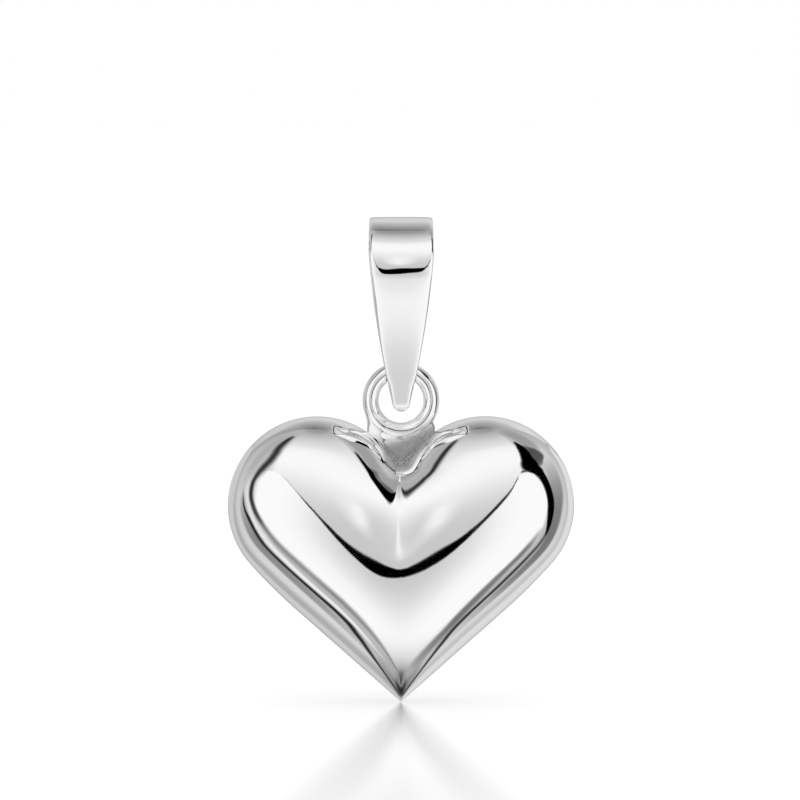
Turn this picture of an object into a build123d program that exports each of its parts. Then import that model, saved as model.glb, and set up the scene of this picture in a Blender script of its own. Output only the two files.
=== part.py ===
from build123d import *
import os
from math import acos, asin, atan2, comb, cos, hypot, pi, sin, sqrt, tan

import numpy as np

# A puffed heart pendant of polished silver on a folded bail, in millimetres.
# The origin is where a chain bears, at the top of the bail's inside. +Z is up,
# the heart's front faces -Y and X runs across it.

# Heart, outside
heart_width = 14.0
heart_height = 11.6
heart_thickness = 5.4
# The lobes run into each other in a small round hollow, this far under their tops.
cleft_depth = 1.96
cleft_radius = 0.33
# Each flank is straight from the tip, then bulges gently up to the lobe.
flank_straight = 5.6
flank_radius = 23.0
# The stamped crease runs down from the cleft. It pulls the surface in, hardest at
# its peak a little under the cleft, and fades out at its length.
crease_pull = 0.25
crease_peak = 0.45
crease_length = 4.2
# Along its upper part it is a narrow groove as well.
groove_slope = 0.3
groove_width = 0.25
groove_length = 2.2
# Two half shells of this gauge, soldered at the rim
shell_wall = 0.35

# How finely the heart's curved surface is worked out: the spacing of the points
# that fix its rim and of the sources outside it, how far out those stand at
# most, and the degree of its patches from front to back.
rim_spacing = 0.05
source_spacing = 0.25
source_room = 0.6
patch_degree = 12

# Eye: a wire ring on a small flared foot that is soldered into the cleft
eye_radius = 1.23
eye_wire = 0.65
# The ring's centre stands this far above the tops of the lobes.
eye_rise = 0.64
# The foot leaves the ring this far below its centre, and its ends stand a little
# over the lobes.
foot_neck = 0.65
foot_width = 2.76
foot_lip = 0.14
foot_thickness = 0.55
# The foot reaches this far into the shell, under half its gauge.
foot_sink = 0.15

# Bail: a strip folded into a loop, with its legs soldered together at the end
bail_gauge = 0.35
bail_width = 2.56
bail_loop_radius = 1.6
# The legs taper from the shoulder on. Depths are from the top of the inside.
bail_shoulder = 1.16
bail_middle_width = 1.91
bail_middle_depth = 4.09
bail_end_width = 0.75
bail_end_depth = 7.1
bail_tip_depth = 7.52
# The eye's wire turns in a round seat between the legs.
seat_radius = 0.66
pivot_depth = 5.84


def lobe_circle():
    """Centre, from the tip, and radius of the circle of the right lobe.

    It touches the heart's side, its top and the hollow between the lobes.
    """
    radius = heart_width / 2 + cleft_depth - sqrt(cleft_depth * (heart_width + 2 * cleft_radius))
    return heart_width / 2 - radius, heart_height - radius, radius


def heart_outline(inset):
    """Right half of the heart's outline from its tip at (0, 0) to the cleft.

    Moved inwards by inset. Each stretch is a function of 0 to 1 and its length.
    """
    lobe_x, lobe_z, lobe_radius = lobe_circle()
    reach, bearing = hypot(lobe_x, lobe_z), atan2(lobe_z, lobe_x)
    arm = hypot(flank_straight, flank_radius)
    turn = atan2(flank_radius, flank_straight)
    # The flank's arc touches both its straight and the lobe's circle.
    share = (arm**2 + reach**2 - (flank_radius - lobe_radius)**2) / 2
    slope = bearing - turn + acos(share / (arm * reach))
    flank_x = flank_straight * cos(slope) - flank_radius * sin(slope)
    flank_z = flank_straight * sin(slope) + flank_radius * cos(slope)
    shoulder = atan2(lobe_z - flank_z, lobe_x - flank_x)
    cleft_z = heart_height - cleft_depth + cleft_radius
    cleft = atan2(cleft_z - lobe_z, -lobe_x)
    tip = inset / cos(slope)
    straight = flank_straight - inset * tan(slope)

    def line(t):
        run = np.asarray(t) * straight
        return np.stack([run * cos(slope), tip + run * sin(slope)], -1)

    def arc(x, z, radius, start, end):
        def curve(t):
            angle = start + (end - start) * np.asarray(t)
            return np.stack([x + radius * np.cos(angle), z + radius * np.sin(angle)], -1)
        return curve, radius * abs(end - start)

    return [
        (line, straight),
        arc(flank_x, flank_z, flank_radius - inset, slope - pi / 2, shoulder),
        arc(lobe_x, lobe_z, lobe_radius - inset, shoulder, cleft),
        arc(0, cleft_z, cleft_radius + inset, cleft - pi, -pi / 2),
    ]


def pull_of_crease(points, cleft):
    """Pull of a row of sources down the middle, whose strength runs straight between knots."""
    knots = [(crease_length, 0), (crease_peak, crease_pull), (0, 0)]
    x = np.maximum(points[:, 0], 1e-9)
    total = np.zeros(len(points))
    for (low, weak), (high, strong) in zip(knots, knots[1:]):
        growth = (strong - weak) / (low - high)
        here = weak + growth * (points[:, 1] - cleft + low)
        for end, sign in ((cleft - high, 1), (cleft - low, -1)):
            s = end - points[:, 1]
            square = x**2 + s**2
            log = np.log(square)
            total += sign * growth * square * (log - 1) / 2
            total += sign * here * (s * log - 2 * s + 2 * x * np.arctan(s / x))
    return total


def soap_film(stretches):
    """Height of a soap film blown up over the outline, as a function of points.

    It solves Poisson's equation with logarithmic sources down the crease and
    outside the rim, two by two across the middle, whose strengths make the rim
    lie at zero.
    """
    (flank, _), (hollow, _) = stretches[0], stretches[3]
    tip, cleft = flank(0)[1], hollow(1)[1]

    def middles(length, spacing, least):
        count = int(length / spacing) + least
        return (np.arange(count) + 0.5) / count

    rim, sources = [], []
    for curve, length in stretches:
        rim.append(curve(middles(length, rim_spacing, 12)))
        t = middles(length, source_spacing, 4)
        along = curve(t + 1e-4) - curve(t - 1e-4)
        along /= np.linalg.norm(along, axis=1)[:, None]
        out = np.stack([along[:, 1], -along[:, 0]], -1)
        point = curve(t)
        # Between the lobes a source stays on its own side of the middle.
        room = np.full(len(t), source_room)
        facing = (out[:, 0] < 0) & (point[:, 1] > cleft)
        room[facing] = np.minimum(source_room, 0.7 * point[facing, 0] / -out[facing, 0])
        sources.append(point + out * room[:, None])
    # The rim is followed closest at the sharp tip and in the small hollow.
    rim = np.vstack(rim + [flank(np.geomspace(1e-3, 1, 50)), hollow(np.linspace(0, 1, 40))])
    sources = np.vstack(sources)
    from_tip = np.hypot(sources[:, 0], sources[:, 1] - tip)
    sources = sources[(sources[:, 0] > 0.1 * rim_spacing) & (from_tip > source_room / 2)]
    # A row of sources in the middle closes in on each of those two from outside.
    step = np.geomspace(source_spacing / 12, 4 * source_room, 16)
    middle = np.concatenate([tip - step, cleft + cleft_radius / 2 + step])
    sources = np.vstack([sources, np.stack([0 * middle, middle], -1)])

    def influence(points):
        rise = (points[:, None, 1] - sources[:, 1])**2
        near = np.log((points[:, None, 0] - sources[:, 0])**2 + rise)
        far = np.log((points[:, None, 0] + sources[:, 0])**2 + rise)
        return np.hstack([near + far, np.ones((len(points), 1))])

    def bulge(points):
        return pull_of_crease(points, cleft) - (points**2).sum(1) / 4

    strength = np.linalg.lstsq(influence(rim), -bulge(rim), rcond=1e-11)[0]
    return lambda points: influence(points) @ strength + bulge(points)


def bernstein(degree):
    """Parameters to fit a Bezier patch at, and the matrix that turns points into poles."""
    t = 0.5 - 0.5 * np.cos(np.linspace(0, pi, degree + 1))
    rows = [[comb(degree, k) * x**k * (1 - x)**(degree - k) for k in range(degree + 1)] for x in t]
    return t, np.linalg.inv(np.array(rows))


def puffed_heart(inset):
    """The closed surface of the heart, moved inwards by inset, with its tip at the origin."""
    stretches = heart_outline(inset)
    film = soap_film(stretches)
    heights = np.linspace(0.3, 0.8, 101) * heart_height
    ridge = film(np.stack([0 * heights, heights], -1))
    pole = np.array([0, heights[ridge.argmax()]])
    # The film is highest at the pole or, with a strong crease, towards a lobe.
    to_lobe = np.linspace(0, 0.6, 61)[:, None] * (stretches[2][0](0.5) - pole)
    top = film(pole + to_lobe).max()
    half = heart_thickness / 2 - inset
    cleft = stretches[3][0](1)[1]

    def depth(points, spill):
        swell = half * np.sqrt(np.clip((film(points) - spill) / top, 0, None))
        down = np.clip((cleft - points[:, 1]) / groove_length, 0, 1)
        slope = groove_slope * np.cos(down * pi / 2)**2
        groove = slope * groove_width * np.exp(-points[:, 0] / groove_width)
        return swell - groove * swell / half

    # Each patch fans out from the pole in front, over a stretch of the rim, to
    # the pole behind: which stretch, where it starts and ends, and its degree.
    patches = [
        (0, 0, 1, 4), (1, 0, 1, 4), (2, 0, 0.4, 8), (2, 0.4, 0.75, 8),
        (2, 0.75, 0.9, 7), (2, 0.9, 1, 6), (3, 0, 1, 6),
    ]
    across, to_poles_across = bernstein(patch_degree)
    turn = (2 * across - 1) * pi / 2
    faces = []
    for stretch, start, end, degree in patches:
        along, to_poles_along = bernstein(degree)
        grid = np.zeros((degree + 1, len(turn), 3))
        for row, point in zip(grid, stretches[stretch][0](start + (end - start) * along)):
            flat = pole + np.cos(turn)[:, None] * (point - pole)
            deep = depth(flat, np.cos(turn)**2 * film(point[None]))
            deep[0] = deep[-1] = depth(pole[None], 0)[0]
            deep[len(turn) // 2] = 0
            row[:] = np.stack([flat[:, 0], np.sign(turn) * deep, flat[:, 1]], -1)
        poles = np.einsum("ij,jkl->ikl", to_poles_along, grid)
        poles = np.einsum("mk,ikl->iml", to_poles_across, poles)
        # The first and last rows lie in the middle plane, where the halves meet.
        if (stretch, start) == (0, 0):
            poles[0, :, 0] = 0
        if (stretch, end) == (3, 1):
            poles[-1, :, 0] = 0
        face = Face.make_bezier_surface([[tuple(p) for p in row] for row in poles.tolist()])
        faces += [face, face.mirror(Plane.YZ)]
    return Solid(Shell(faces))


def make_heart():
    """Both half shells, the eye and its foot: soldered together, so one solid."""
    eye_z = -pivot_depth - eye_radius
    tip_z = eye_z - eye_rise - heart_height
    cleft_z = tip_z + heart_height - cleft_depth
    lobe_x, lobe_z, lobe_radius = lobe_circle()
    # Where the foot's ends meet the lobes
    end = foot_width / 2
    seat = tip_z + lobe_z + sqrt(lobe_radius**2 - (lobe_x - end)**2)
    neck = sqrt((eye_radius + eye_wire / 4)**2 - foot_neck**2)
    right = [(neck, eye_z - foot_neck), (end, seat + foot_lip), (end, seat - foot_sink)]
    left = [(-x, z) for x, z in reversed(right)]
    plate = Plane.XZ * make_face(Polyline(*right, (0, cleft_z - foot_sink), *left, close=True))
    foot = extrude(plate, foot_thickness / 2, both=True)
    upright = Pos(0, 0, eye_z) * Rot(90, 0, 0)
    foot -= upright * Cylinder(eye_radius, foot_thickness * 2)
    eye = upright * Torus(eye_radius, eye_wire / 2) + foot
    shell = Pos(0, 0, tip_z) * puffed_heart(0) + eye
    return shell - Pos(0, 0, tip_z) * puffed_heart(shell_wall)


def make_bail():
    """The folded strip: a teardrop from the side, cut to a leaf from the front."""
    # The inside of a leg is an arc that touches the loop where that is widest
    # and the round seat of the eye's wire.
    drop = pivot_depth - bail_loop_radius
    leg_radius = (drop**2 + bail_loop_radius**2 - seat_radius**2) / 2 / (bail_loop_radius - seat_radius)
    leg_y = bail_loop_radius - leg_radius

    def teardrop(offset, angle, *bottom):
        """Side outline, offset from the inside, whose legs turn through the angle."""
        def leg(side, turn):
            radius = leg_radius + offset
            return side * (leg_y + radius * cos(turn)), -bail_loop_radius - radius * sin(turn)
        wide = bail_loop_radius + offset
        legs = [ThreePointArc(leg(side, 0), leg(side, angle / 2), leg(side, angle)) for side in (-1, 1)]
        top = ThreePointArc((-wide, -bail_loop_radius), (0, offset), (wide, -bail_loop_radius))
        ends = leg(-1, angle), leg(1, angle)
        base = ThreePointArc(ends[0], *bottom, ends[1]) if bottom else Line(*ends)
        return make_face([top, *legs, base])

    solid_end = asin((bail_tip_depth - bail_loop_radius) / (leg_radius + bail_gauge))
    side = teardrop(bail_gauge, solid_end)
    side -= teardrop(0, atan2(drop, -leg_y), (0, -pivot_depth - seat_radius))
    strip = extrude(Plane.YZ * side, bail_width / 2, both=True)

    shoulder, middle, end = [(width / 2, -depth) for width, depth in (
        (bail_width, bail_shoulder), (bail_middle_width, bail_middle_depth),
        (bail_end_width, bail_end_depth))]
    right = [Line((bail_width / 2, bail_gauge), shoulder), ThreePointArc(shoulder, middle, end)]
    left = [edge.mirror(Plane.YZ) for edge in right]
    leaf = make_face([
        *right, *left, Line((-bail_width / 2, bail_gauge), (bail_width / 2, bail_gauge)),
        ThreePointArc(end, (0, -bail_tip_depth), (-end[0], end[1]))])
    return strip & extrude(Plane.XZ * leaf, bail_loop_radius + bail_gauge, both=True)


if __name__ == "__main__":
    os.makedirs("parts", exist_ok=True)
    for name, piece in (("bail", make_bail()), ("heart", make_heart())):
        export_step(piece, f"parts/{name}.step")
        print(name, round(piece.volume, 2), "cubic mm")
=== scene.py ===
from math import acos, atan2, cos, hypot, pi, radians, sin, sqrt

import bpy
import numpy as np
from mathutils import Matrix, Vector


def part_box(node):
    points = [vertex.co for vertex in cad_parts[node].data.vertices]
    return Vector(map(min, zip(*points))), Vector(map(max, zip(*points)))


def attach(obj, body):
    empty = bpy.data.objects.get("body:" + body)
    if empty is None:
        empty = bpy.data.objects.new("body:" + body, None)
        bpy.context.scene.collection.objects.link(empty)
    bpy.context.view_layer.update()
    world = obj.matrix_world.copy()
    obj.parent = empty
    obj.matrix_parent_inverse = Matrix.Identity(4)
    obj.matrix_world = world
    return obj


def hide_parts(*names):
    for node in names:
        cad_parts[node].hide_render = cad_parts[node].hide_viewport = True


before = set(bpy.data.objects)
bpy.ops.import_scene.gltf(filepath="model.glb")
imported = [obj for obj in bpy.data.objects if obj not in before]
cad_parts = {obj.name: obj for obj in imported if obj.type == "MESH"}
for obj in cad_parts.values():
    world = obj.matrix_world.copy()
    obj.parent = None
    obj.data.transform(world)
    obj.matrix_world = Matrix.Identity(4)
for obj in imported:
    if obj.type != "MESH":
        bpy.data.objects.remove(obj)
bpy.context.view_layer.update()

# The view: a long lens, nearly level with the pendant and a touch to its left. The
# pendant stands as large and as low in the picture as in the photo.
scene = bpy.context.scene
MM = 0.001
photo_width = 32.3 * MM
photo_centre = Vector((-0.04, 0, -7.07)) * MM
camera_distance = 0.35
camera_azimuth = radians(-1.2)
camera_elevation = radians(4)

lens = bpy.data.cameras.new("camera")
lens.sensor_width = 36
lens.lens = lens.sensor_width * camera_distance / photo_width
lens.clip_start = 0.01
camera = bpy.data.objects.new("camera", lens)
away = Vector((
    sin(camera_azimuth) * cos(camera_elevation), -cos(camera_azimuth) * cos(camera_elevation),
    sin(camera_elevation)))
camera.location = photo_centre + away * camera_distance
camera.rotation_euler = away.to_track_quat("Z", "Y").to_euler()
scene.collection.objects.link(camera)
scene.camera = camera
scene.view_settings.view_transform = "Standard"

# The table: a sheet of white acrylic with a satin face, which the tip just touches.
# Seen at so flat an angle it mirrors strongly, so a blurred heart shows under the tip.
table_half = 0.6
table_gap = 0.004 * MM
acrylic_blur = 0.14
acrylic_ior = 1.49


def tone(hex_colour):
    """An sRGB hex colour as the linear one that Blender works with."""
    parts = [int(hex_colour[i:i + 2], 16) / 255 for i in (0, 2, 4)]
    return [p / 12.92 if p <= 0.04045 else ((p + 0.055) / 1.055)**2.4 for p in parts] + [1]


def add(tree, kind, inputs, **settings):
    """Adds a node. Each input is a value, a socket or a node, whose first output is meant."""
    node = tree.nodes.new(kind)
    for name, value in settings.items():
        setattr(node, name, value)
    for name, value in inputs.items():
        if isinstance(value, bpy.types.Node):
            value = value.outputs[0]
        if isinstance(value, bpy.types.NodeSocket):
            tree.links.new(value, node.inputs[name])
        else:
            node.inputs[name].default_value = value
    return node


def finish_of(name):
    """A new material with an empty tree, and its output."""
    material = bpy.data.materials.new(name)
    material.use_nodes = True
    material.node_tree.nodes.clear()
    return material, add(material.node_tree, "ShaderNodeOutputMaterial", {})


# White all through, with a clear skin that mirrors more the flatter it is seen
acrylic, output = finish_of("satin white acrylic")
tree = acrylic.node_tree
matt = add(tree, "ShaderNodeBsdfDiffuse", {"Color": tone("f4f4f4")})
gloss = add(tree, "ShaderNodeBsdfAnisotropic", {"Color": tone("ffffff"), "Roughness": acrylic_blur})
skin = add(tree, "ShaderNodeFresnel", {"IOR": acrylic_ior})
both = add(tree, "ShaderNodeMixShader", {0: skin, 1: matt, 2: gloss})
tree.links.new(both.outputs[0], output.inputs["Surface"])

table_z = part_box("heart")[0].z - table_gap
mesh = bpy.data.meshes.new("floor")
mesh.from_pydata(
    [(x * table_half, y * table_half, table_z) for x, y in ((-1, -1), (1, -1), (1, 1), (-1, 1))],
    [], [(0, 1, 2, 3)])
mesh.materials.append(acrylic)
table = bpy.data.objects.new("floor", mesh)
scene.collection.objects.link(table)
table.visible_glossy = False

# The studio: one world whose light depends on the direction alone. White sheets hang
# over and under the pendant, and dark things show in the gaps between and beside them.
# Angles are in degrees. Azimuth 0 is towards the camera and grows to the right.
# Brightness is written as it shows in the picture, from 0 to 1.
picture_gamma = 2.2
matt_fill = 1.3
world = bpy.data.worlds.new("studio")
scene.world = world
world.use_nodes = True
world.cycles.sampling_method = "NONE"
tree = world.node_tree
tree.nodes.clear()


def angle(operation, *values):
    """An angle in degrees, worked out from lengths."""
    turn = add(tree, "ShaderNodeMath", dict(enumerate(values)), operation=operation)
    return add(tree, "ShaderNodeMath", {0: turn}, operation="DEGREES")


direction = add(tree, "ShaderNodeTexCoord", {}).outputs["Generated"]
right, back, up = add(tree, "ShaderNodeSeparateXYZ", {0: direction}).outputs
ahead = add(tree, "ShaderNodeMath", {0: back, 1: -1}, operation="MULTIPLY")
depthwise = add(tree, "ShaderNodeMath", {0: back}, operation="ABSOLUTE")
elevation = angle("ARCSINE", up)
azimuth = angle("ARCTAN2", right, ahead)
turned = add(tree, "ShaderNodeMath", {0: azimuth}, operation="ABSOLUTE")
# The same as azimuth in front, and its mirror image behind
facing = angle("ARCTAN2", right, depthwise)


def curve_of(source, points):
    """A smooth curve through (in, out) points, level beyond its ends."""
    points = sorted(points)
    start, end = points[0][0], points[-1][0]
    low, high = min(y for _, y in points), max(y for _, y in points)
    if low == high:
        return low
    share = add(tree, "ShaderNodeMapRange", {0: source, 1: start, 2: end, 3: 0.0, 4: 1.0})
    bend = add(tree, "ShaderNodeFloatCurve", {"Value": share})
    knots = bend.mapping.curves[0].points
    placed = [((x - start) / (end - start), (y - low) / (high - low)) for x, y in points]
    for knot, spot in zip(knots, (placed[0], placed[-1])):
        knot.location = spot
    for spot in placed[1:-1]:
        knots.new(*spot)
    for knot in knots:
        knot.handle_type = "AUTO_CLAMPED"
    bend.mapping.update()
    return add(tree, "ShaderNodeMapRange", {0: bend, 1: 0.0, 2: 1.0, 3: low, 4: high})


def edge(source, bound, softness, below=0.0, above=1.0):
    """One light below a bound and another above it, with a soft edge between them."""
    over = add(tree, "ShaderNodeMath", {0: source, 1: bound}, operation="SUBTRACT")
    over = add(tree, "ShaderNodeMath", {0: over, 1: softness}, operation="DIVIDE")
    return add(
        tree, "ShaderNodeMapRange", {0: over, 1: -1.0, 2: 1.0, 3: below, 4: above},
        interpolation_type="SMOOTHSTEP")


def covered(light, shade, *shares):
    """The light with a shade over it, as much as all the shares say."""
    share = shares[0]
    for other in shares[1:]:
        share = add(tree, "ShaderNodeMath", {0: share, 1: other}, operation="MULTIPLY")
    return add(tree, "ShaderNodeMix", {0: share, 2: light, 3: shade}, data_type="FLOAT")


def ribbon(light, shade, core, rows):
    """The light with a soft-edged ribbon over it, whose core is full.

    Rows are elevation, azimuth, half width and strength."""
    centre, half, strength = [
        curve_of(elevation, [(row[0], row[i]) for row in rows]) for i in (1, 2, 3)]
    off = add(tree, "ShaderNodeMath", {0: azimuth, 1: centre}, operation="SUBTRACT")
    off = add(tree, "ShaderNodeMath", {0: off}, operation="ABSOLUTE")
    off = add(tree, "ShaderNodeMath", {0: off, 1: half}, operation="DIVIDE")
    share = add(
        tree, "ShaderNodeMapRange", {0: off, 1: core, 2: 1.0, 3: strength, 4: 0.0},
        interpolation_type="SMOOTHSTEP")
    return covered(light, shade, share)


# The room, with its shadows: on the left the grey wall and its corner, on the right
# the high wall, the wall and its dark corner, and last the dull edges of the low sheet
room = curve_of(elevation, [
    (-90, 0.34), (-82, 0.26), (-76, 0.45), (-70, 0.58), (-66, 0.62), (-60, 0.8), (-52, 0.86),
    (-30, 0.84), (0, 0.82), (30, 0.84), (60, 0.79), (72, 0.76), (80, 0.69), (86, 0.6), (90, 0.62)])
for shade, core, rows in (
        (0.66, 0, [
            (5, -95, 14, 0), (20, -90, 22, 0.5), (40, -86, 30, 0.85), (60, -86, 36, 0.8),
            (78, -80, 50, 0.3)]),
        (0.50, 0.3, [
            (10, -90, 8, 0), (0, -86, 11, 0.3), (-15, -82, 12, 0.7), (-30, -79, 12, 0.85),
            (-45, -76, 12, 0.8), (-55, -80, 12, 0.4), (-60, -85, 12, 0)]),
        (0.58, 0.3, [(40, 85, 25, 0), (52, 85, 30, 0.8), (65, 85, 32, 0.8), (80, 85, 40, 0.2)]),
        (0.45, 0.4, [
            (36, 88, 20, 0), (20, 86, 21, 0.45), (5, 84, 19, 0.75), (-10, 82, 15, 0.9),
            (-25, 83, 13, 0.95), (-40, 84, 12, 0.9), (-50, 86, 11, 0.4), (-56, 88, 10, 0)]),
        (0.28, 0.4, [
            (55, 62, 8, 0), (49, 68, 14, 0.7), (44, 73, 20, 0.9), (39, 76, 22, 0.9),
            (34, 70, 14, 0.8), (30, 66, 8, 0)]),
        (0.71, 0.4, [
            (0, 68, 6, 0), (-18, 69, 8, 0.7), (-35, 68, 12, 0.9), (-50, 66, 16, 0.9),
            (-60, 60, 24, 0.9), (-70, 45, 40, 0.8), (-80, 30, 60, 0.6)]),
        (0.71, 0.4, [
            (-20, -56, 10, 0), (-35, -50, 14, 0.8), (-50, -48, 16, 0.9), (-60, -50, 24, 0.9),
            (-70, -45, 40, 0.8), (-80, -30, 60, 0.6)])):
    room = ribbon(room, shade, core, rows)

# The white sheet overhead, and a lamp low in front that lights the heart's crease
overhead = curve_of(elevation, [
    (-10, 0.79), (0, 0.8), (10, 0.835), (20, 0.9), (32, 0.97), (42, 0.995), (50, 0.985), (60, 0.89),
    (68, 0.82), (75, 0.74), (82, 0.66)])
front = covered(
    room, overhead,
    edge(curve_of(elevation, [(28, 41), (40, 46), (50, 50), (57, 52), (75, 56)]), facing, 1),
    edge(facing, curve_of(elevation, [(28, -50), (45, -52), (57, -50), (75, -56)]), 6),
    edge(elevation, 78, 10, 1.0, 0.0))
front = ribbon(front, 0.98, 0, [
    (0, 0, 6, 0), (4, 0, 8, 0.6), (8, 0, 10, 0.9), (15, 0, 11, 0.9), (22, 0, 11, 0.5),
    (30, 0, 12, 0)])

# The white sheet under the pendant, duller round its middle and towards the tip's shade
dull_across, dull_upright, dull_low = 30, 37, 9
aside = add(tree, "ShaderNodeMath", {0: facing, 1: dull_across}, operation="DIVIDE")
below = add(tree, "ShaderNodeMath", {0: elevation, 1: dull_low}, operation="ADD")
below = add(tree, "ShaderNodeMath", {0: below, 1: dull_upright}, operation="DIVIDE")
off = add(tree, "ShaderNodeCombineXYZ", {0: aside, 1: below})
off = add(tree, "ShaderNodeVectorMath", {0: off}, operation="LENGTH").outputs["Value"]
sheet = curve_of(off, [(0, 0.785), (0.3, 0.82), (0.57, 0.88), (0.78, 0.93), (1, 0.975), (1.35, 1)])
sheet = covered(0.0, sheet, curve_of(elevation, [
    (-84, 0.22), (-77, 0.44), (-72, 0.68), (-68, 0.79), (-63, 0.88), (-58, 0.94), (-54, 0.975),
    (-48, 1)]))
right_side = curve_of(elevation, [
    (-80, 15), (-72, 30), (-62, 46), (-50, 54), (-35, 60), (-15, 65), (0, 65), (12, 62), (24, 55)])
left_side = curve_of(elevation, [
    (-80, -15), (-72, -26), (-62, -38), (-48, -43), (-35, -48), (-25, -54), (-15, -59), (-8, -62),
    (5, -65), (18, -64), (26, -58)])
sheet = covered(
    room, sheet,
    edge(right_side, facing, curve_of(elevation, [(-60, 10), (-40, 8), (-10, 2), (10, 1)])),
    edge(facing, left_side, curve_of(elevation, [(-60, 8), (-40, 6), (-10, 4), (20, 4)])))

# The dark gap between the two sheets, a smile that opens towards its middle, and paler
# behind. It goes from the top of the low sheet to the bottom of the light in front.
gap_top = curve_of(facing, [
    (-50, 29.5), (-36, 25.3), (-28, 18.8), (-20, 8.8), (-17, 3.3), (-14.4, -0.9), (-11.8, -4.3),
    (-9, -6), (-6, -6.5), (-3, -6), (0, -5.3), (3.5, -5), (6.5, -5.1), (9.6, -4.9),
    (12.7, -3.9), (15.6, -1.6), (18.6, 1.4), (21.5, 5.6), (25, 10.6), (31, 17.3), (36, 24),
    (42, 29.5)])
sheet_top = curve_of(facing, [
    (-75, 0), (-66, 18), (-60, 25), (-52, 29), (-44, 28.5), (-36, 25), (-28, 18.3), (-20.3, 7.4),
    (-17.5, 1.6), (-15.2, -3.6), (-13, -7.2), (-11, -9.7), (-9, -11.5), (-7, -12.8), (-4.5, -13.3),
    (-1.5, -12.7), (1, -11.8), (4, -10.8), (7.3, -10.2), (10.5, -9.4), (14, -7.2), (16.6, -4.7),
    (19.3, -1), (22.1, 3.2), (26, 8.8), (31, 15.6), (36, 23), (42, 28), (50, 28), (56, 25),
    (62, 17), (66, 8), (72, -5)])
gap_edge = 0.8
darkness = curve_of(facing, [
    (-60, 0), (-46, 0.05), (-38, 0.25), (-26, 0.45), (-19, 1), (36, 1), (42, 0.8), (50, 0)])
gap = covered(front, 0.02, darkness, edge(turned, 105, 15, 1.0, 0.75))
light = edge(elevation, gap_top, gap_edge, gap, front)
light = edge(elevation, sheet_top, gap_edge, sheet, light)

# Things at the sides: on the right a black card, a grey one and a dark rod, and on
# the left a dark card, a white one and a black rod
for shade, core, rows in (
        (0.01, 0.6, [
            (60, 60, 3, 0), (55, 60, 6, 0.95), (48, 59, 10, 1), (40, 56, 11, 1), (33, 55, 14.5, 1),
            (29.5, 57, 14, 1), (25, 62, 9, 1), (18, 66, 6.5, 1), (8, 69, 6, 1), (0, 70.5, 6, 1),
            (-10, 71.5, 5, 1), (-18, 73, 3.2, 0.9), (-24, 74, 2, 0)]),
        (0.45, 0.2, [
            (-15, 64, 4, 0), (-24, 61, 5, 0.6), (-32, 59, 6, 0.9), (-40, 57, 7, 0.9),
            (-48, 59, 9, 0.95), (-54, 62, 12, 0.8), (-62, 60, 20, 0.5), (-70, 50, 30, 0)]),
        (0.12, 0, [
            (-15, 74, 3, 0), (-25, 73, 4, 0.6), (-38, 70.8, 5, 0.8), (-45, 71.5, 5.5, 0.85),
            (-51.8, 73.5, 6.5, 0.95), (-56, 82, 11, 0.9), (-60, 98, 18, 0.85), (-64, 118, 24, 0.75),
            (-72, 140, 30, 0.3)]),
        (0.10, 0, [
            (70, -68, 10, 0), (62, -66, 13, 0.9), (53, -64, 14, 0.85), (42, -60, 12, 0.85),
            (32, -64, 11, 0.85), (24, -69, 8, 0.85), (15, -72, 6, 0.9), (7, -71, 6, 0.9),
            (0, -67.5, 6, 0.85), (-8, -62.5, 6, 0.8), (-15, -58, 6, 0.55), (-26, -52, 7, 0.45),
            (-35, -46, 8, 0.42), (-42, -42, 8, 0.48), (-50, -39, 8, 0.45), (-58, -36, 8, 0.4),
            (-68, -30, 8, 0.3), (-76, -20, 8, 0)]),
        (0.97, 0, [
            (22, -84, 4, 0), (5, -77, 5, 0.5), (-5, -72.5, 5, 0.6), (-15, -68, 5, 0.65),
            (-30, -61, 5.5, 0.85), (-42, -57, 6, 1), (-50, -54.5, 6, 1), (-60, -56, 7, 0.5),
            (-68, -50, 7, 0)]),
        (0.06, 0, [
            (12, -89, 2, 0), (5, -86, 3.5, 0.4), (-3, -83, 4, 0.8), (-12, -76, 5, 0.95),
            (-20, -72.5, 5, 0.9), (-30, -70, 5.5, 0.85), (-38, -67, 5.5, 0.88),
            (-45, -64.5, 6, 0.92), (-51, -62.8, 7, 0.97), (-56, -69, 9, 0.95), (-60, -81, 14, 0.9),
            (-63, -95, 18, 0.8), (-66, -110, 22, 0.7), (-70, -125, 24, 0.5), (-76, -150, 24, 0)])):
    light = ribbon(light, shade, core, rows)

# The studio is a little duller behind, most of all on the left. Low down there the
# table's flat reflection meets a bright wall, so the table looks white.
dull = edge(facing, 0, 60, 0.8, 0.88)
light = covered(0.0, light, edge(turned, 108, 12, 1.0, dull))
light = covered(
    light, 1.02, edge(elevation, -3, 3), edge(elevation, 12, 6, 1.0, 0.0), edge(turned, 160, 12))

# Mirrors see all of this, matt things an even light, and the camera plain white
linear = add(tree, "ShaderNodeGamma", {"Color": light, "Gamma": picture_gamma})
ray = add(tree, "ShaderNodeLightPath", {}).outputs
plain = add(tree, "ShaderNodeMapRange", {
    0: ray["Is Camera Ray"], 1: 0.0, 2: 1.0, 3: matt_fill, 4: 1.0})
seen = add(tree, "ShaderNodeMapRange", {
    0: ray["Is Glossy Ray"], 1: 0.0, 2: 1.0, 3: plain, 4: linear})
emit = add(tree, "ShaderNodeBackground", {"Color": seen, "Strength": 1.0})
output = add(tree, "ShaderNodeOutputWorld", {})
tree.links.new(emit.outputs[0], output.inputs["Surface"])

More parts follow.
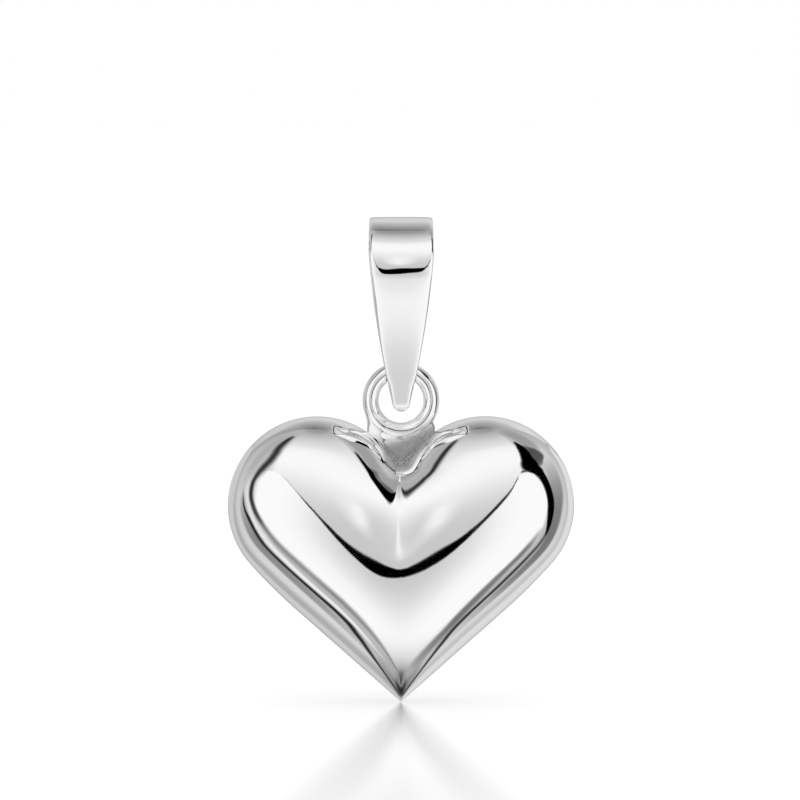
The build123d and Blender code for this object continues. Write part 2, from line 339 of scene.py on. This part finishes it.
# Polished sterling silver, which every piece is made of: buffed to a mirror, so it shows
# the studio sharply, with the faintest haze and fine lines from the polishing mop.
# Real mop lines are too fine to show, so they are drawn coarser.
haze_spot = 2.38 * MM
haze_least, haze_most = 0.02, 0.055
mop_line = 0.385 * MM
mop_stretch = 6
mop_slant = (0.3, 0.5, 0.6)
mop_strength = 0.012
mop_depth = 0.02 * MM
silver_colour = tone("fafafa")
silver, output = finish_of("mirror-polished sterling silver")
tree = silver.node_tree
where = add(tree, "ShaderNodeTexCoord", {}).outputs["Object"]
haze = add(tree, "ShaderNodeTexNoise", {"Vector": where, "Scale": 1 / haze_spot, "Detail": 3.0})
haze = add(tree, "ShaderNodeMapRange", {0: haze, 1: 0.35, 2: 0.7, 3: haze_least, 4: haze_most})
brushed = add(tree, "ShaderNodeMapping", {
    "Vector": where, "Rotation": mop_slant, "Scale": (1, mop_stretch, 1)})
lines = add(tree, "ShaderNodeTexNoise", {"Vector": brushed, "Scale": 1 / mop_line, "Detail": 2.0})
relief = add(tree, "ShaderNodeBump", {
    "Height": lines, "Strength": mop_strength, "Distance": mop_depth})
metal = add(tree, "ShaderNodeBsdfPrincipled", {
    "Base Color": silver_colour, "Metallic": 1.0, "Roughness": haze, "Normal": relief})
tree.links.new(metal.outputs[0], output.inputs["Surface"])

# The heart: two half shells of thin silver sheet, each struck in a die into a
# puffed heart and soldered rim to rim. A crease runs down from the cleft.
# From here on lengths are in millimetres.
heart_low, heart_high = [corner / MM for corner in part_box("heart")]
heart_width = heart_high.x - heart_low.x
heart_thickness = heart_high.y - heart_low.y
tip_z = heart_low.z
heart_height = 11.6
cleft_depth = 1.96
cleft_radius = 0.33
flank_straight = 5.6
flank_radius = 23.0
lobe_radius = heart_width / 2 + cleft_depth - sqrt(cleft_depth * (heart_width + 2 * cleft_radius))
lobe_x, lobe_z = heart_width / 2 - lobe_radius, heart_height - lobe_radius
# How hard the crease pulls the surface down, at depths below the cleft
crease_pull = [(3.9, 0), (0.5, 0.32), (0, 0)]
crease_floor = 0.2
crease_slope = 0.3
crease_width = 0.25
crease_length = 2.2
# How far the crease wanders to the left, at depths below the cleft, and how gently
crease_lean = [(0, 0), (0.3, 0.1), (3, 0.2), (6, 0)]
lean_start = 0.3
lean_bend = 0.6
lean_width = 1.6
# The die leaves the sheet fuller on both sides of the crease
fullness = 0.35
full_depth = 0.9
full_width = 1.5
full_height = 1.1


def heart_outline():
    """The outline's right half, from tip to cleft, as curves of 0 to 1 with their lengths."""
    reach, bearing = hypot(lobe_x, lobe_z), atan2(lobe_z, lobe_x)
    arm, turn = hypot(flank_straight, flank_radius), atan2(flank_radius, flank_straight)
    share = (arm**2 + reach**2 - (flank_radius - lobe_radius)**2) / 2
    slope = bearing - turn + acos(share / (arm * reach))
    flank_x = flank_straight * cos(slope) - flank_radius * sin(slope)
    flank_z = flank_straight * sin(slope) + flank_radius * cos(slope)
    shoulder = atan2(lobe_z - flank_z, lobe_x - flank_x)
    hollow_z = heart_height - cleft_depth + cleft_radius
    hollow = atan2(hollow_z - lobe_z, -lobe_x)

    def line(t):
        run = np.asarray(t) * flank_straight
        return np.stack([run * cos(slope), run * sin(slope)], -1)

    def arc(x, z, radius, start, end):
        def curve(t):
            bearing = start + (end - start) * np.asarray(t)
            return np.stack([x + radius * np.cos(bearing), z + radius * np.sin(bearing)], -1)
        return curve, radius * abs(end - start)

    return [
        (line, flank_straight),
        arc(flank_x, flank_z, flank_radius, slope - pi / 2, shoulder),
        arc(lobe_x, lobe_z, lobe_radius, shoulder, hollow),
        arc(0, hollow_z, cleft_radius, hollow - pi, -pi / 2),
    ]


def pulled(points, cleft):
    """What a row of sources down the crease, of strength crease_pull, adds to the film."""
    x = np.hypot(points[:, 0], crease_floor)
    total = np.zeros(len(points))
    knots = [(cleft - depth, pull) for depth, pull in crease_pull]
    for (low, weak), (high, strong) in zip(knots, knots[1:]):
        growth = (strong - weak) / (high - low)
        here = weak + growth * (points[:, 1] - low)
        for end, sign in ((high, 1), (low, -1)):
            s = end - points[:, 1]
            square = x**2 + s**2
            log = np.log(square + 1e-18)
            total += sign * (
                growth * square * (log - 1) / 2
                + here * (s * log - 2 * s + 2 * x * np.arctan(s / x)))
    return total


def soap_film(stretches, spacing=0.05, source_spacing=0.25, source_room=0.6):
    """Height of a soap film blown up over the outline, as a function of points.

    Sources stand in a row outside the rim, as strong as it takes to hold the film
    down on the rim, which is tested at points a spacing apart."""
    (flank, _), (hollow, _) = stretches[0], stretches[3]
    tip, cleft = flank(0)[1], hollow(1)[1]

    def middles(length, spacing, least):
        count = int(length / spacing) + least
        return (np.arange(count) + 0.5) / count

    rim, sources = [], []
    for curve, length in stretches:
        rim.append(curve(middles(length, spacing, 12)))
        t = middles(length, source_spacing, 4)
        along = curve(t + 1e-4) - curve(t - 1e-4)
        along /= np.linalg.norm(along, axis=1)[:, None]
        out = np.stack([along[:, 1], -along[:, 0]], -1)
        point = curve(t)
        room = np.full(len(t), source_room)
        # In the cleft the sources of both halves would meet
        facing = (out[:, 0] < 0) & (point[:, 1] > cleft)
        room[facing] = np.minimum(source_room, 0.7 * point[facing, 0] / -out[facing, 0])
        sources.append(point + out * room[:, None])
    rim = np.vstack(rim + [flank(np.geomspace(1e-3, 1, 50)), hollow(np.linspace(0, 1, 40))])
    sources = np.vstack(sources)
    from_tip = np.hypot(sources[:, 0], sources[:, 1] - tip)
    sources = sources[(sources[:, 0] > 0.1 * spacing) & (from_tip > source_room / 2)]
    step = np.geomspace(source_spacing / 12, 4 * source_room, 16)
    middle = np.concatenate([tip - step, cleft + cleft_radius / 2 + step])
    sources = np.vstack([sources, np.stack([0 * middle, middle], -1)])

    def influence(points):
        rise = (points[:, None, 1] - sources[:, 1])**2
        near = np.log((points[:, None, 0] - sources[:, 0])**2 + rise)
        far = np.log((points[:, None, 0] + sources[:, 0])**2 + rise)
        return np.hstack([near + far, np.ones((len(points), 1))])

    target = (rim**2).sum(1) / 4 - pulled(rim, cleft)
    strength = np.linalg.lstsq(influence(rim), target, rcond=1e-11)[0]

    def height(points):
        points = np.stack([np.abs(points[:, 0]), points[:, 1]], -1)
        chunks = np.array_split(points, max(1, len(points) // 4000))
        return np.concatenate([
            influence(c) @ strength + pulled(c, cleft) - (c**2).sum(1) / 4 for c in chunks])
    return height


# The film's highest point is on the middle line or on a line towards a lobe
stretches = heart_outline()
film = soap_film(stretches)
cleft_z = float(stretches[3][0](1)[1])
heights = np.linspace(0.2, 0.8, 241) * heart_height
ridge = film(np.stack([0 * heights, heights], -1))
pole = np.array([0, heights[ridge.argmax()]])
lobe_line = np.linspace(0, 0.6, 61)[:, None] * (stretches[2][0](0.5) - pole) + pole
film_top = max(ridge.max(), film(lobe_line).max())


def depth(points, spill):
    """Half the heart's thickness over points of its middle plane, the rim's error taken off."""
    down = cleft_z - points[:, 1]
    steps = np.linspace(-lean_bend, lean_bend, 9)
    lean = np.mean([np.interp(down + step, *zip(*crease_lean)) for step in steps], axis=0)
    lean *= np.clip(down / lean_start, 0, 1)
    points = points + np.stack([lean * np.exp(-(points[:, 0] / lean_width)**2), 0 * lean], -1)
    swell = np.sqrt(np.clip((film(points) - spill) / film_top, 0, None))
    across = points[:, 0]
    slope = crease_slope * np.cos(np.clip(down / crease_length, 0, 1) * pi / 2)**2
    crease = slope * crease_width * np.exp(-np.hypot(across, crease_floor) / crease_width)
    off = (across / full_width)**2 + ((down - full_depth) / full_height)**2
    fuller = fullness * np.exp(-off / 2)
    return swell * (heart_thickness / 2 - crease + fuller)


def shown(name, points, faces, material):
    """A smooth-shaded mesh object of points in millimetres."""
    mesh = bpy.data.meshes.new(name)
    mesh.from_pydata((points * MM).tolist(), [], faces)
    mesh.polygons.foreach_set("use_smooth", np.ones(len(mesh.polygons), bool))
    mesh.materials.append(material)
    thing = bpy.data.objects.new(name, mesh)
    scene.collection.objects.link(thing)
    return thing


# Rays from the pole to the rim, close together where the outline turns sharply,
# and rows from the pole in front over the rim to the pole behind. The row on the
# rim is drawn in a little, as the soldered seam is filed off.
rows = 90
seam = 0.002
ray_spacings = (0.09, 0.09, 0.06, 0.02)
rim = []
for (curve, length), spacing in zip(stretches, ray_spacings):
    count = int(length / spacing) + 1
    rim.append(curve(np.arange(count) / count))
half_rim = np.vstack(rim + [stretches[3][0](np.array([1.0]))])
rim = np.vstack([half_rim, half_rim[-2:0:-1] * (-1, 1)])
spill = film(rim)
points = []
for turn in np.linspace(-pi / 2, pi / 2, rows + 1)[1:-1]:
    flat = pole + (cos(turn) if turn else 1 - seam) * (rim - pole)
    deep = depth(flat, cos(turn)**2 * spill) if turn else 0 * spill
    points.append(np.stack([flat[:, 0], np.sign(turn) * deep, flat[:, 1] + tip_z], -1))
top = float(depth(pole[None], 0)[0])
points = np.vstack(points + [[[0, -top, pole[1] + tip_z], [0, top, pole[1] + tip_z]]])
front_pole, back_pole = len(points) - 2, len(points) - 1
grid = np.arange((rows - 1) * len(rim)).reshape(rows - 1, len(rim))
onward = np.roll(grid, -1, 1)
faces = np.stack([grid[:-1], onward[:-1], onward[1:], grid[1:]], -1).reshape(-1, 4).tolist()
faces += [(front_pole, b, a) for a, b in zip(grid[0].tolist(), onward[0].tolist())]
faces += [(back_pole, a, b) for a, b in zip(grid[-1].tolist(), onward[-1].tolist())]
shells = shown("heart_shells", points, faces, silver)

# The eye: a ring of round silver wire on a small flared foot, which is soldered
# into the cleft. The solder runs up into a fillet, a larger one on the left.
eye_radius = 1.23
eye_wire = 0.65
eye_z = heart_high.z - eye_radius - eye_wire / 2
foot_width = 2.76
foot_neck = 0.65
foot_thickness = 0.55
foot_lip = 0.14
foot_sink = 0.15
foot_round = 0.12
foot_dome = 0.1
# The foot's plate gets thinner downwards from this far under the eye's middle
foot_wedge = 0.15
foot_wedge_start = 1.1
solder_fillet = 0.3
solder_share = 1.6
solder_ripple = 0.002
eye_mesh_step = 0.025

foot_end = foot_width / 2
foot_seat = tip_z + lobe_z + sqrt(lobe_radius**2 - (lobe_x - foot_end)**2)
neck = sqrt((eye_radius + eye_wire / 4)**2 - foot_neck**2)
side = [
    (neck, eye_z - foot_neck), (foot_end, foot_seat + foot_lip), (foot_end, foot_seat - foot_sink)]
foot_shape = np.array(
    side + [(0, tip_z + cleft_z - foot_sink)] + [(-x, z) for x, z in reversed(side)])


def foot_field(points):
    """Distance to the foot's plate with rounded edges: negative inside."""
    flat = points[:, [0, 2]]
    gap_square = np.full(len(flat), 1e9)
    inside = np.zeros(len(flat), bool)
    for a, b in zip(foot_shape, np.roll(foot_shape, -1, 0)):
        run, gap = b - a, flat - a
        share = np.clip((gap @ run) / (run @ run), 0, 1)
        gap_square = np.minimum(gap_square, ((gap - share[:, None] * run)**2).sum(1))
        crosses = (a[1] > flat[:, 1]) != (b[1] > flat[:, 1])
        with np.errstate(divide="ignore", invalid="ignore"):
            inside ^= crosses & (flat[:, 0] < run[0] * gap[:, 1] / run[1] + a[0])
    across = np.sqrt(gap_square) * np.where(inside, -1, 1) + foot_round
    through = np.abs(points[:, 1]) - foot_thickness / 2 + foot_round
    outside = np.hypot(np.maximum(across, 0), np.maximum(through, 0))
    return np.minimum(np.maximum(across, through), 0) + outside - foot_round


def eye_field(points):
    """Distance to the ring and its foot, joined by a fillet: negative inside."""
    x, y, z = points.T
    ring = np.hypot(np.hypot(x, z - eye_z) - eye_radius, y) - eye_wire / 2
    hole = eye_radius - np.hypot(x, z - eye_z)
    domed = points.copy()
    domed[:, 1] = (
        np.abs(y) + foot_wedge * np.clip(eye_z - foot_wedge_start - z, 0, 2) + foot_dome * x**2)
    foot = np.maximum(foot_field(domed), hole)
    # Two crossing waves, each about 0.4 mm long, which fade out towards the left
    ripple = np.sin(17 * x + 5 * z) * np.sin(13 * z - 7 * x + 1)
    foot += solder_ripple * ripple * np.clip(1 + x, 0, 2)
    fillet = solder_fillet * (0.2 + 0.8 * np.clip(0.5 - x / solder_share, 0, 1))
    share = np.clip(0.5 + (foot - ring) / (2 * fillet), 0, 1)
    return foot + (ring - foot) * share - fillet * share * (1 - share)


def wrapped(field, low, high, step):
    """Points, four-sided faces and normals of the surface on which the field is zero.

    Each cell of a grid that the surface passes through gets one point, which is then
    moved onto the surface, and each grid edge that it crosses gets a face."""
    axes = [np.arange(a, b + step, step) for a, b in zip(low, high)]
    grid = np.stack(np.meshgrid(*axes, indexing="ij"), -1)
    value = np.concatenate([field(part) for part in np.array_split(grid.reshape(-1, 3), 60)])
    inside = (value < 0).reshape(grid.shape[:3])
    size = [n - 1 for n in inside.shape]
    corners = sum(
        inside[i:i + size[0], j:j + size[1], k:k + size[2]].astype(int)
        for i in (0, 1) for j in (0, 1) for k in (0, 1))
    cell = (corners > 0) & (corners < 8)
    index = np.full(size, -1)
    index[cell] = np.arange(cell.sum())
    points = grid[:-1, :-1, :-1][cell] + step / 2
    nudge = step * 0.02
    for _ in range(8):
        gradient = np.stack([
            (field(points + n) - field(points - n)) / (2 * nudge) for n in np.eye(3) * nudge], -1)
        move = (field(points) / np.maximum((gradient**2).sum(1), 1e-6))[:, None] * gradient
        reach = np.maximum(np.linalg.norm(move, axis=1, keepdims=True) / (0.5 * step), 1)
        points = points - move / reach
    normals = gradient / np.linalg.norm(gradient, axis=1, keepdims=True)
    faces = []
    for axis in range(3):
        a, b = (axis + 1) % 3, (axis + 2) % 3
        near = np.take(inside, range(inside.shape[axis] - 1), axis)
        far = np.take(inside, range(1, inside.shape[axis]), axis)
        spots = np.argwhere(near != far)
        spots = spots[(spots[:, a] > 0) & (spots[:, b] > 0)]
        spots = spots[(spots[:, a] < size[a]) & (spots[:, b] < size[b])]
        quad = []
        for da, db in ((0, 0), (1, 0), (1, 1), (0, 1)):
            moved = spots.copy()
            moved[:, a] -= da
            moved[:, b] -= db
            quad.append(index[tuple(moved.T)])
        quad = np.stack(quad, -1)
        flip = near[tuple(spots.T)]
        quad[~flip] = quad[~flip][:, ::-1]
        faces.append(quad)
    return points, np.vstack(faces), normals


# The foot keeps the duller, uneven skin of its solder, which hides what it would mirror.
# Its colour is painted darker there as shade in the cleft, and the skin and the painted
# shade reach higher on the right. Its grain is drawn coarser than real.
shade_and_skin_top, shade_and_skin_full = 1.1, 1.9
shade_and_skin_tilt = -0.45
# The grey painted over the foot as shade in the cleft
painted_shade_colour = tone("aeaeae")
skin_least, skin_most = 0.16, 0.4
solder_grain = 0.455 * MM
grain_strength = 0.12
grain_depth = 0.05 * MM
soldered = silver.copy()
soldered.name = "polished silver with a soldered foot and painted shade"
tree = soldered.node_tree
metal, relief, haze = [tree.nodes[node.name] for node in (metal, relief, haze)]
where = tree.nodes[where.node.name].outputs["Object"]
place = add(tree, "ShaderNodeSeparateXYZ", {0: where}).outputs
# Where the solder skin and the painted shade lie: low down, and higher on the right
height = add(
    tree, "ShaderNodeMath", {0: place["X"], 1: shade_and_skin_tilt, 2: place["Z"]}, operation="MULTIPLY_ADD")
skin = add(tree, "ShaderNodeMapRange", {
    0: height, 1: (eye_z - shade_and_skin_top) * MM, 2: (eye_z - shade_and_skin_full) * MM, 3: 0.0, 4: 1.0},
    interpolation_type="SMOOTHSTEP")
grain = add(tree, "ShaderNodeTexNoise", {"Vector": where, "Scale": 1 / solder_grain, "Detail": 3.0})
dullness = add(tree, "ShaderNodeMapRange", {0: grain, 1: 0.3, 2: 0.7, 3: skin_least, 4: skin_most})
dullness = add(tree, "ShaderNodeMix", {0: skin, 2: haze, 3: dullness}, data_type="FLOAT")
# Painted shade: the foot's colour turns grey in the cleft
colour = add(tree, "ShaderNodeMix", {0: skin, 6: silver_colour, 7: painted_shade_colour}, data_type="RGBA")
lumps = add(tree, "ShaderNodeMath", {0: skin, 1: grain_strength}, operation="MULTIPLY")
lumps = add(tree, "ShaderNodeBump", {
    "Height": grain, "Strength": lumps, "Distance": grain_depth, "Normal": relief})
tree.links.new(dullness.outputs[0], metal.inputs["Roughness"])
tree.links.new(colour.outputs[2], metal.inputs["Base Color"])
tree.links.new(lumps.outputs[0], metal.inputs["Normal"])

# The box that the eye is meshed in, a little larger than the eye all round
reach, deep, under, over = 1.7, 0.45, 0.3, 0.1
low = (-reach, -deep, tip_z + cleft_z - under)
high = (reach, deep, heart_high.z + over)
points, faces, normals = wrapped(eye_field, low, high, eye_mesh_step)
eye = shown("eye_and_foot", points, faces.tolist(), soldered)
eye.data.normals_split_custom_set_from_vertices(normals.tolist())

for piece in (shells, eye):
    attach(piece, "heart")
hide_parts("heart")

# The bail: a strip of silver, tapered towards both ends and folded into a loop,
# its legs soldered together at the bottom. It is slightly crowned, with soft edges.
# Geometry Nodes sweep the strip's section along its path.
bail_low, bail_high = [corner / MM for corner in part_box("bail")]
bail_width = bail_high.x - bail_low.x
bail_gauge = bail_high.z
bail_thin_gauge = 0.25
bail_loop = bail_high.y
bail_tip_depth = -bail_low.z
loop_depth = bail_loop - bail_gauge
pivot_depth = 5.84
bail_shoulder = 1.16
bail_middle_width = 1.91
bail_middle_depth = 4.09
bail_end_width = 0.75
bail_end_depth = 7.1
bail_end_pinch = 0.3
bail_least_width = 0.04
bail_crown = 0.08
taper_depth = 2
strip_squareness = 6.5
strip_points_round = 96
# How far a leg's outside leans in, in degrees, at depths under the origin
leg_lean = [
    (loop_depth, 0.5), (1.87, 4.4), (1.95, 9), (2.08, 15), (3, 20.5), (4, 18), (5, 12.5), (6, 9.5),
    (bail_tip_depth, 8.5)]


def half_width_at(depth_below):
    """Half the strip's width at a depth under the top of the inside."""
    a, b, c = [np.array(p) for p in (
        (bail_width / 2, bail_shoulder), (bail_middle_width / 2, bail_middle_depth),
        (bail_end_width / 2, bail_end_depth))]
    chords = np.array([b - a, c - b])
    centre = np.linalg.solve(chords, [(b @ b - a @ a) / 2, (c @ c - b @ b) / 2])
    radius = np.hypot(*(a - centre))
    side = np.sign(a[0] - centre[0])
    level = np.clip(depth_below, bail_shoulder, bail_end_depth) - centre[1]
    arc = centre[0] + side * np.sqrt(radius**2 - level**2)
    past = np.clip((depth_below - bail_end_depth) / (bail_tip_depth - bail_end_depth), 0, 0.999)
    return arc * np.sqrt(1 - past**2)


# Side view of the front leg from its tip up: its outside, and its inside, which
# ends in a round seat for the eye where the two legs meet.
down = np.linspace(loop_depth, bail_tip_depth, 3000)
lean = np.tan(np.radians(np.interp(down, *zip(*leg_lean))))
fall = np.concatenate([[0], np.cumsum((lean[1:] + lean[:-1]) / 2 * np.diff(down))])
round_end = np.clip((down - bail_end_depth) / (bail_tip_depth - bail_end_depth), 0, 1)
outside = (bail_loop - fall) * (1 - bail_end_pinch * round_end**3)
gauge = np.interp(down, [taper_depth, pivot_depth], [bail_gauge, bail_thin_gauge])
seat = float(np.interp(pivot_depth, down, outside - gauge))
inside = np.where(
    down < pivot_depth, outside - gauge,
    np.sqrt(np.clip(seat**2 - (down - pivot_depth)**2, 0, None)))
# The rows of the mesh, close together at the tip, round the seat and in the bend
# under the loop
bend_end = 2.2
levels = np.concatenate([
    bail_tip_depth - (bail_tip_depth - bail_end_depth) * np.linspace(0, 1, 16)**2,
    np.linspace(bail_end_depth, pivot_depth + seat, 16)[1:],
    pivot_depth + seat * np.cos(np.linspace(0, pi / 2, 24))[1:],
    np.linspace(pivot_depth, bend_end, 60)[1:],
    np.linspace(bend_end, loop_depth, 30)[1:]])
leg_out = np.stack([-np.interp(levels, down, outside), -levels], -1)
leg_in = np.stack([-np.interp(levels, down, inside), -levels], -1)
turns = np.linspace(0, pi, 62)[1:-1]
round_loop = np.stack([-np.cos(turns), np.sin(turns)], -1)
outer = np.vstack([leg_out, round_loop * bail_loop - (0, loop_depth), leg_out[::-1] * (-1, 1)])
inner = np.vstack([leg_in, round_loop * loop_depth - (0, loop_depth), leg_in[::-1] * (-1, 1)])
half_width = half_width_at(-outer[:, 1])
# The crown flattens out over the top of the loop and where the strip is narrow
crown = bail_crown * np.concatenate([np.ones(len(levels)), np.cos(turns)**2, np.ones(len(levels))])
crown *= (half_width / bail_width * 2)**2

path = np.insert((outer + inner) / 2, 0, 0, axis=1) * MM
half_gauge = np.insert((outer - inner) / 2, 0, 0, axis=1) * MM
mesh = bpy.data.meshes.new("bail_strip")
mesh.from_pydata(path.tolist(), [(i, i + 1) for i in range(len(path) - 1)], [])
for name, kind, key, values in (
        ("middle", "FLOAT_VECTOR", "vector", path),
        ("half gauge", "FLOAT_VECTOR", "vector", half_gauge),
        ("half width", "FLOAT", "value", np.maximum(half_width, bail_least_width / 2) * MM),
        ("crown", "FLOAT", "value", crown * MM / np.linalg.norm(half_gauge, axis=1))):
    stored = mesh.attributes.new(name, kind, "POINT").data
    stored.foreach_set(key, np.ravel(values).astype(np.float32))
bail = bpy.data.objects.new("bail_strip", mesh)
scene.collection.objects.link(bail)

tree = bpy.data.node_groups.new("strip along its path", "GeometryNodeTree")
tree.interface.new_socket("Geometry", in_out="INPUT", socket_type="NodeSocketGeometry")
sweep_inputs = [
    (tree.interface.new_socket(name, in_out="INPUT", socket_type=kind), value)
    for name, kind, value in (
        ("Squareness", "NodeSocketFloat", strip_squareness),
        ("Points round", "NodeSocketInt", strip_points_round),
        ("Finish", "NodeSocketMaterial", silver))]
tree.interface.new_socket("Geometry", in_out="OUTPUT", socket_type="NodeSocketGeometry")
given = add(tree, "NodeGroupInput", {}).outputs

# The section: a round, pushed out to a soft-edged oblong from -1 to 1 both ways
section = add(tree, "GeometryNodeCurvePrimitiveCircle", {
    "Resolution": given["Points round"], "Radius": 1.0})
place = add(tree, "ShaderNodeSeparateXYZ", {0: add(tree, "GeometryNodeInputPosition", {})}).outputs
powers = []
for axis in (0, 1):
    size = add(tree, "ShaderNodeMath", {0: place[axis]}, operation="ABSOLUTE")
    powers.append(add(tree, "ShaderNodeMath", {0: size, 1: given["Squareness"]}, operation="POWER"))
reach = add(tree, "ShaderNodeMath", {0: powers[0], 1: powers[1]}, operation="ADD")
root = add(tree, "ShaderNodeMath", {0: 1.0, 1: given["Squareness"]}, operation="DIVIDE")
reach = add(tree, "ShaderNodeMath", {0: reach, 1: root}, operation="POWER")
for name, axis in (("across", 0), ("through", 1)):
    spot = add(tree, "ShaderNodeMath", {0: place[axis], 1: reach}, operation="DIVIDE")
    section = add(tree, "GeometryNodeStoreNamedAttribute", {
        "Geometry": section, "Name": name, "Value": spot}, data_type="FLOAT")

# The sweep: each point of the section goes sideways by the strip's half width there
# and outwards by its half gauge, less what the crown takes off towards the edges
route = add(tree, "GeometryNodeMeshToCurve", {0: given["Geometry"]})
swept = add(tree, "GeometryNodeCurveToMesh", {
    "Curve": route, "Profile Curve": section, "Fill Caps": True})
across, through, width, drop, middle, half = [
    add(tree, "GeometryNodeInputNamedAttribute", {"Name": name}, data_type=kind) for name, kind in (
        ("across", "FLOAT"), ("through", "FLOAT"), ("half width", "FLOAT"), ("crown", "FLOAT"),
        ("middle", "FLOAT_VECTOR"), ("half gauge", "FLOAT_VECTOR"))]
sideways = add(tree, "ShaderNodeMath", {0: across, 1: width}, operation="MULTIPLY")
sideways = add(tree, "ShaderNodeCombineXYZ", {0: sideways})
sag = add(tree, "ShaderNodeMath", {0: across, 1: across}, operation="MULTIPLY")
sag = add(tree, "ShaderNodeMath", {0: sag, 1: drop}, operation="MULTIPLY")
outward = add(tree, "ShaderNodeMath", {0: through, 1: 0.5, 2: 0.5}, operation="MULTIPLY_ADD")
sag = add(tree, "ShaderNodeMath", {0: sag, 1: outward}, operation="MULTIPLY")
lift = add(tree, "ShaderNodeMath", {0: through, 1: sag}, operation="SUBTRACT")
lift = add(tree, "ShaderNodeVectorMath", {0: half, "Scale": lift}, operation="SCALE")
spot = add(tree, "ShaderNodeVectorMath", {0: middle, 1: lift}, operation="ADD")
spot = add(tree, "ShaderNodeVectorMath", {0: spot, 1: sideways}, operation="ADD")
swept = add(tree, "GeometryNodeSetPosition", {"Geometry": swept, "Position": spot})
swept = add(tree, "GeometryNodeRealizeInstances", {"Geometry": swept})
swept = add(tree, "GeometryNodeSetMaterial", {"Geometry": swept, "Material": given["Finish"]})
add(tree, "NodeGroupOutput", {"Geometry": swept})

sweep = bail.modifiers.new("sweep", "NODES")
sweep.node_group = tree
for socket, value in sweep_inputs:
    sweep[socket.identifier] = value
bpy.context.view_layer.update()
solid = bpy.data.meshes.new_from_object(bail.evaluated_get(bpy.context.evaluated_depsgraph_get()))
bail.modifiers.clear()
bail.data = solid
solid.polygons.foreach_set("use_smooth", np.ones(len(solid.polygons), bool))
# The sum of the wedges from the origin to each face is negative if faces point inwards
corners = np.array([vertex.co for vertex in solid.vertices])
fans = np.array([
    (face.vertices[0], face.vertices[i], face.vertices[i + 1])
    for face in solid.polygons for i in range(1, len(face.vertices) - 1)])
a, b, c = corners[fans].transpose(1, 0, 2)
if (np.cross(a, b) * c).sum() < 0:
    solid.flip_normals()
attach(bail, "bail")
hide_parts("bail")
